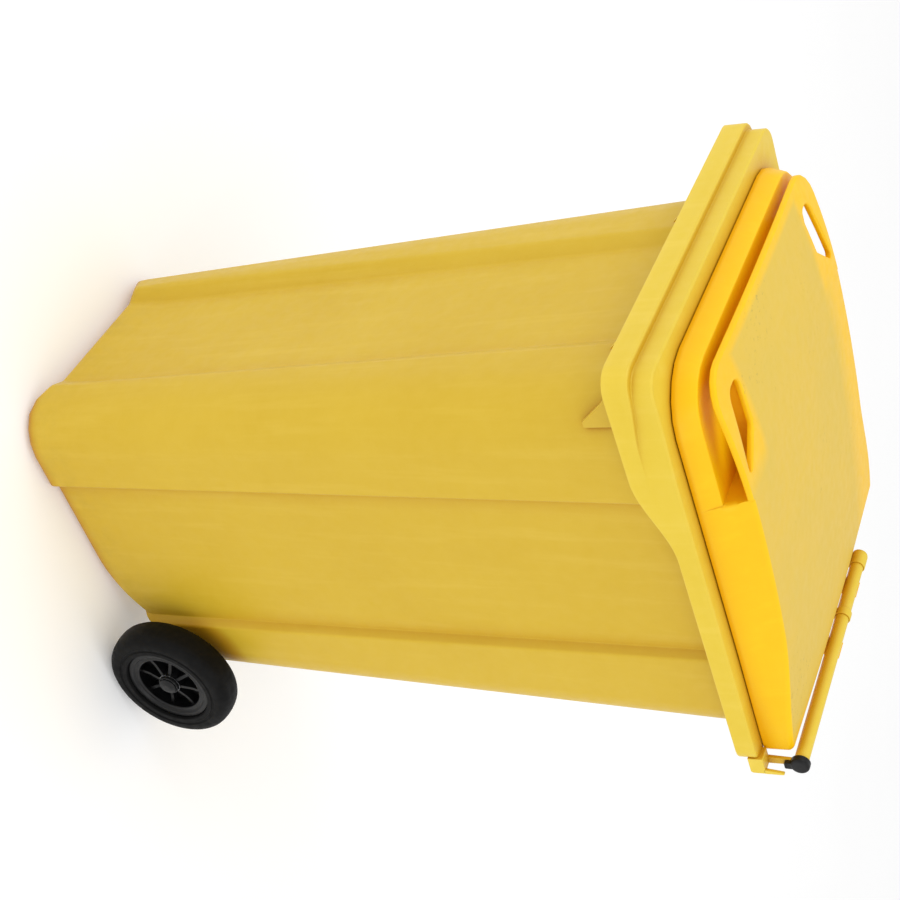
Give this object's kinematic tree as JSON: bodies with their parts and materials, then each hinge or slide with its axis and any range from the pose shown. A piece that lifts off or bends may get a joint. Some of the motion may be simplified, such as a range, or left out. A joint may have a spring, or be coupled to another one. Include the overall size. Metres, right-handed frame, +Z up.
{
  "type": "two-wheeled waste container",
  "caption": "Tapered plastic waste container with a stepped collar, a domed lid hinged on a rear bar, and a pair of spoked wheels on a rear axle.",
  "frame": {"origin": "on the ground, under the middle of the overall box", "axes": "+Z up, -Y to the front of the container, X along the wheel axle"},
  "size_m": [0.58, 0.663, 1.085],
  "materials": {
    "body_plastic": "moulded polyethylene, pale yellow, fine satin grain",
    "lid_plastic": "moulded polyethylene, warm yellow, dusty on top",
    "black_plastic": "black moulded plastic",
    "tyre_rubber": "black solid rubber",
    "zinc_steel": "zinc plated",
    "nylon": "natural nylon"
  },
  "bodies": {
    "container": {"bin_body": "body_plastic", "hinge_bar": "body_plastic", "bar_cap": "black_plastic", "bar_plug": "body_plastic", "axle": "zinc_steel", "spacer_washer_left": "zinc_steel", "spacer_washer_right": "zinc_steel", "axle_clip_left": "zinc_steel", "axle_clip_right": "zinc_steel", "transponder": "black_plastic", "chip_nest_plug": "body_plastic"},
    "lid": {"lid": "lid_plastic"},
    "wheel_left": {"tyre_left": "tyre_rubber", "wheel_rim_left": "black_plastic", "hub_sleeve_left": "nylon", "hub_cap_left": "black_plastic"},
    "wheel_right": {"tyre_right": "tyre_rubber", "wheel_rim_right": "black_plastic", "hub_sleeve_right": "nylon", "hub_cap_right": "black_plastic"}
  },
  "joints": [
    {"name": "lid_hinge", "type": "hinge", "parent": "container", "child": "lid", "pos_m": [0, 0.2955, 1.065], "axis": [-1, 0, 0], "range_deg": [0, 270]},
    {"name": "wheel_left_spin", "type": "hinge", "parent": "container", "child": "wheel_left", "pos_m": [-0.254, 0.2295, 0.102], "axis": [1, 0, 0], "continuous": true},
    {"name": "wheel_right_spin", "type": "hinge", "parent": "container", "child": "wheel_right", "pos_m": [0.254, 0.2295, 0.102], "axis": [1, 0, 0], "continuous": true}
  ]
}
